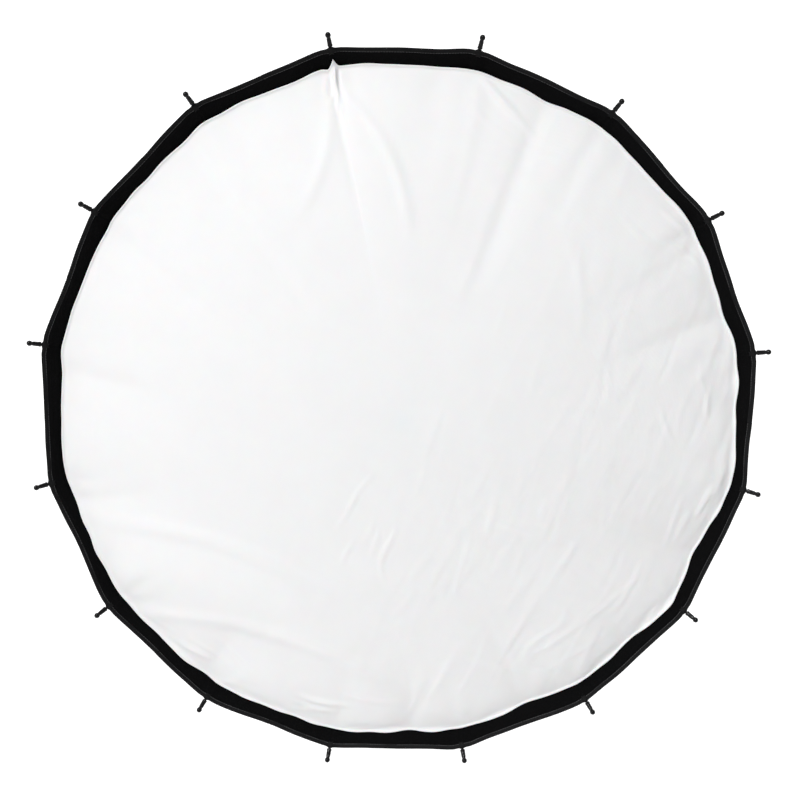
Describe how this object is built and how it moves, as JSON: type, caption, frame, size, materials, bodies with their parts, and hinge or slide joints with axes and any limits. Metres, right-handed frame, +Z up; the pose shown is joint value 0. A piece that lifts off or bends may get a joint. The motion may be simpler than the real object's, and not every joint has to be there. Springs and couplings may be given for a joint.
{
  "type": "quick-fold parabolic softbox",
  "caption": "Round black fabric softbox on hinged rods with ball tips, white front diffuser, hub and bayonet lamp adapter.",
  "frame": {"origin": "centre of the adapter's seat face, where the softbox meets the lamp head, on the lamp axis", "axes": "+Y along the lamp axis towards the lamp, so the white mouth faces -Y; +Z up, +X to the right as seen from in front of the mouth"},
  "size_m": [0.904, 0.3324, 0.904],
  "materials": {
    "cast_alloy": "satin cast and machined aluminium, grey, slight wear on the bayonet lugs",
    "hub_plastic": "fine-grained black glass-filled nylon",
    "hinge_wire": "drawn spring steel wire, bright",
    "collar_plastic": "dark grey moulded plastic",
    "knob_plastic": "black moulded knob with ribbed rim, steel screw",
    "shell_nylon": "black coated woven nylon, matt, with stitched seams",
    "silver_lining": "pebbled silver reflective cloth",
    "loop_tape": "black loop tape with a short pile, near black",
    "baffle_cloth": "thin white translucent diffusion cloth with black hem",
    "diffuser_cloth": "white translucent diffusion cloth, fine weave, soft creases",
    "rod_finish": "black coated spring rod, satin",
    "bracket_plastic": "black moulded bracket",
    "tip_plastic": "glossy black ball-ended cap"
  },
  "bodies": {
    "adapter": {"bayonet_adapter": "cast_alloy", "adapter_clamp_ring": "cast_alloy"},
    "hub": {"hub_rear_housing": "hub_plastic", "hub_front_cover": "hub_plastic", "hinge_ring": "hinge_wire", "outer_shell": "shell_nylon", "silver_lining": "silver_lining", "lip_loop_tape": "loop_tape", "inner_baffle": "baffle_cloth"},
    "collar": {"sync_collar": "collar_plastic"},
    "diffuser": {"front_diffuser": "diffuser_cloth"},
    "lock_knob": {"rotation_lock_knob": "knob_plastic"},
    "rod_01": {"rod_bracket_01": "bracket_plastic", "rod_01": "rod_finish", "rod_tip_01": "tip_plastic"},
    "rod_02": {"rod_bracket_02": "bracket_plastic", "rod_02": "rod_finish", "rod_tip_02": "tip_plastic"},
    "rod_03": {"rod_bracket_03": "bracket_plastic", "rod_03": "rod_finish", "rod_tip_03": "tip_plastic"},
    "rod_04": {"rod_bracket_04": "bracket_plastic", "rod_04": "rod_finish", "rod_tip_04": "tip_plastic"},
    "rod_05": {"rod_bracket_05": "bracket_plastic", "rod_05": "rod_finish", "rod_tip_05": "tip_plastic"},
    "rod_06": {"rod_bracket_06": "bracket_plastic", "rod_06": "rod_finish", "rod_tip_06": "tip_plastic"},
    "rod_07": {"rod_bracket_07": "bracket_plastic", "rod_07": "rod_finish", "rod_tip_07": "tip_plastic"},
    "rod_08": {"rod_bracket_08": "bracket_plastic", "rod_08": "rod_finish", "rod_tip_08": "tip_plastic"},
    "rod_09": {"rod_bracket_09": "bracket_plastic", "rod_09": "rod_finish", "rod_tip_09": "tip_plastic"},
    "rod_10": {"rod_bracket_10": "bracket_plastic", "rod_10": "rod_finish", "rod_tip_10": "tip_plastic"},
    "rod_11": {"rod_bracket_11": "bracket_plastic", "rod_11": "rod_finish", "rod_tip_11": "tip_plastic"},
    "rod_12": {"rod_bracket_12": "bracket_plastic", "rod_12": "rod_finish", "rod_tip_12": "tip_plastic"},
    "rod_13": {"rod_bracket_13": "bracket_plastic", "rod_13": "rod_finish", "rod_tip_13": "tip_plastic"},
    "rod_14": {"rod_bracket_14": "bracket_plastic", "rod_14": "rod_finish", "rod_tip_14": "tip_plastic"},
    "rod_15": {"rod_bracket_15": "bracket_plastic", "rod_15": "rod_finish", "rod_tip_15": "tip_plastic"},
    "rod_16": {"rod_bracket_16": "bracket_plastic", "rod_16": "rod_finish", "rod_tip_16": "tip_plastic"}
  },
  "joints": [
    {"name": "hub_turn", "type": "hinge", "parent": "adapter", "child": "hub", "pos_m": [0, 0, 0], "axis": [0, 1, 0], "continuous": true},
    {"name": "fold_01", "type": "hinge", "parent": "hub", "child": "rod_01", "pos_m": [0.01561, -0.03, 0.07846], "axis": [0.9808, 0, -0.1951], "range_deg": [0, 54], "deforming": ["outer_shell", "silver_lining", "lip_loop_tape", "inner_baffle", "front_diffuser"]},
    {"name": "fold_02", "type": "hinge", "parent": "hub", "child": "rod_02", "pos_m": [0.04445, -0.03, 0.06652], "axis": [0.8315, 0, -0.5556], "range_deg": [0, 54]},
    {"name": "fold_03", "type": "hinge", "parent": "hub", "child": "rod_03", "pos_m": [0.06652, -0.03, 0.04445], "axis": [0.5556, 0, -0.8315], "range_deg": [0, 54]},
    {"name": "fold_04", "type": "hinge", "parent": "hub", "child": "rod_04", "pos_m": [0.07846, -0.03, 0.01561], "axis": [0.1951, 0, -0.9808], "range_deg": [0, 54]},
    {"name": "fold_05", "type": "hinge", "parent": "hub", "child": "rod_05", "pos_m": [0.07846, -0.03, -0.01561], "axis": [-0.1951, 0, -0.9808], "range_deg": [0, 54]},
    {"name": "fold_06", "type": "hinge", "parent": "hub", "child": "rod_06", "pos_m": [0.06652, -0.03, -0.04445], "axis": [-0.5556, 0, -0.8315], "range_deg": [0, 54]},
    {"name": "fold_07", "type": "hinge", "parent": "hub", "child": "rod_07", "pos_m": [0.04445, -0.03, -0.06652], "axis": [-0.8315, 0, -0.5556], "range_deg": [0, 54]},
    {"name": "fold_08", "type": "hinge", "parent": "hub", "child": "rod_08", "pos_m": [0.01561, -0.03, -0.07846], "axis": [-0.9808, 0, -0.1951], "range_deg": [0, 54]},
    {"name": "fold_09", "type": "hinge", "parent": "hub", "child": "rod_09", "pos_m": [-0.01561, -0.03, -0.07846], "axis": [-0.9808, 0, 0.1951], "range_deg": [0, 54]},
    {"name": "fold_10", "type": "hinge", "parent": "hub", "child": "rod_10", "pos_m": [-0.04445, -0.03, -0.06652], "axis": [-0.8315, 0, 0.5556], "range_deg": [0, 54]},
    {"name": "fold_11", "type": "hinge", "parent": "hub", "child": "rod_11", "pos_m": [-0.06652, -0.03, -0.04445], "axis": [-0.5556, 0, 0.8315], "range_deg": [0, 54]},
    {"name": "fold_12", "type": "hinge", "parent": "hub", "child": "rod_12", "pos_m": [-0.07846, -0.03, -0.01561], "axis": [-0.1951, 0, 0.9808], "range_deg": [0, 54]},
    {"name": "fold_13", "type": "hinge", "parent": "hub", "child": "rod_13", "pos_m": [-0.07846, -0.03, 0.01561], "axis": [0.1951, 0, 0.9808], "range_deg": [0, 54]},
    {"name": "fold_14", "type": "hinge", "parent": "hub", "child": "rod_14", "pos_m": [-0.06652, -0.03, 0.04445], "axis": [0.5556, 0, 0.8315], "range_deg": [0, 54]},
    {"name": "fold_15", "type": "hinge", "parent": "hub", "child": "rod_15", "pos_m": [-0.04445, -0.03, 0.06652], "axis": [0.8315, 0, 0.5556], "range_deg": [0, 54]},
    {"name": "fold_16", "type": "hinge", "parent": "hub", "child": "rod_16", "pos_m": [-0.01561, -0.03, 0.07846], "axis": [0.9808, 0, 0.1951], "range_deg": [0, 54]},
    {"name": "collar_slide", "type": "slide", "parent": "hub", "child": "collar", "axis": [0, 1, 0], "range_m": [0, 0.01136]},
    {"name": "diffuser_lift", "type": "slide", "parent": "hub", "child": "diffuser", "axis": [0, -1, 0], "range_m": [0, 0.15]},
    {"name": "lock_knob_turn", "type": "hinge", "parent": "hub", "child": "lock_knob", "pos_m": [0, -0.0113, -0.1], "axis": [0, 0, -1], "range_deg": [0, 360]}
  ],
  "couplings": [
    {"joint": "fold_02", "follows": "fold_01", "ratio": 1},
    {"joint": "fold_03", "follows": "fold_01", "ratio": 1},
    {"joint": "fold_04", "follows": "fold_01", "ratio": 1},
    {"joint": "fold_05", "follows": "fold_01", "ratio": 1},
    {"joint": "fold_06", "follows": "fold_01", "ratio": 1},
    {"joint": "fold_07", "follows": "fold_01", "ratio": 1},
    {"joint": "fold_08", "follows": "fold_01", "ratio": 1},
    {"joint": "fold_09", "follows": "fold_01", "ratio": 1},
    {"joint": "fold_10", "follows": "fold_01", "ratio": 1},
    {"joint": "fold_11", "follows": "fold_01", "ratio": 1},
    {"joint": "fold_12", "follows": "fold_01", "ratio": 1},
    {"joint": "fold_13", "follows": "fold_01", "ratio": 1},
    {"joint": "fold_14", "follows": "fold_01", "ratio": 1},
    {"joint": "fold_15", "follows": "fold_01", "ratio": 1},
    {"joint": "fold_16", "follows": "fold_01", "ratio": 1},
    {"joint": "collar_slide", "follows": "fold_01", "m_per_rad": 0.01204}
  ]
}
